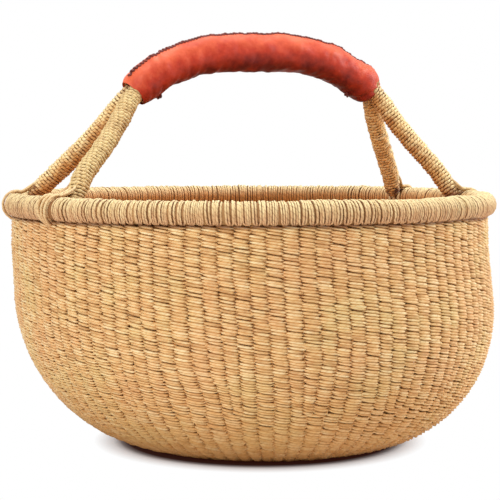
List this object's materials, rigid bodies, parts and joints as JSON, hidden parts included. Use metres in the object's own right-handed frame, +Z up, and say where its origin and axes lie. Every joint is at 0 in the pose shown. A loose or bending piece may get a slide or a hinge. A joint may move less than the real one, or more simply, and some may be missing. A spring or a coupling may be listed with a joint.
{
  "type": "market basket",
  "caption": "Round twined-straw basket with a wrapped rim and an arched two-hoop handle that ends in a stitched leather grip.",
  "frame": {"origin": "on the floor, under the middle of the rim", "axes": "+Z up, +X along the handle's line, +Y across the handle"},
  "size_m": [0.4064, 0.4064, 0.3423],
  "materials": {
    "straw": "matte",
    "pale_straw": "satin",
    "stake_straw": "matte",
    "red_leather": "satin",
    "dark_lacing": "satin"
  },
  "bodies": {
    "root": {"base_weave_outer": "straw", "wall_weave_outer": "straw", "weave_inner": "straw", "base_stakes": "stake_straw", "rim_bundle": "stake_straw", "rim_wrap": "pale_straw", "foot_loop_front_left": "pale_straw", "foot_loop_back_left": "pale_straw", "foot_loop_front_right": "pale_straw", "foot_loop_back_right": "pale_straw", "leg_winding_front_left": "pale_straw", "leg_winding_back_left": "pale_straw", "leg_winding_front_right": "pale_straw", "leg_winding_back_right": "pale_straw", "handle_core_front": "stake_straw", "handle_core_back": "stake_straw", "grip_binding": "pale_straw", "leather_grip": "red_leather", "grip_lacing": "dark_lacing", "lacing_knot_left": "dark_lacing", "lacing_knot_right": "dark_lacing"}
  },
  "joints": []
}
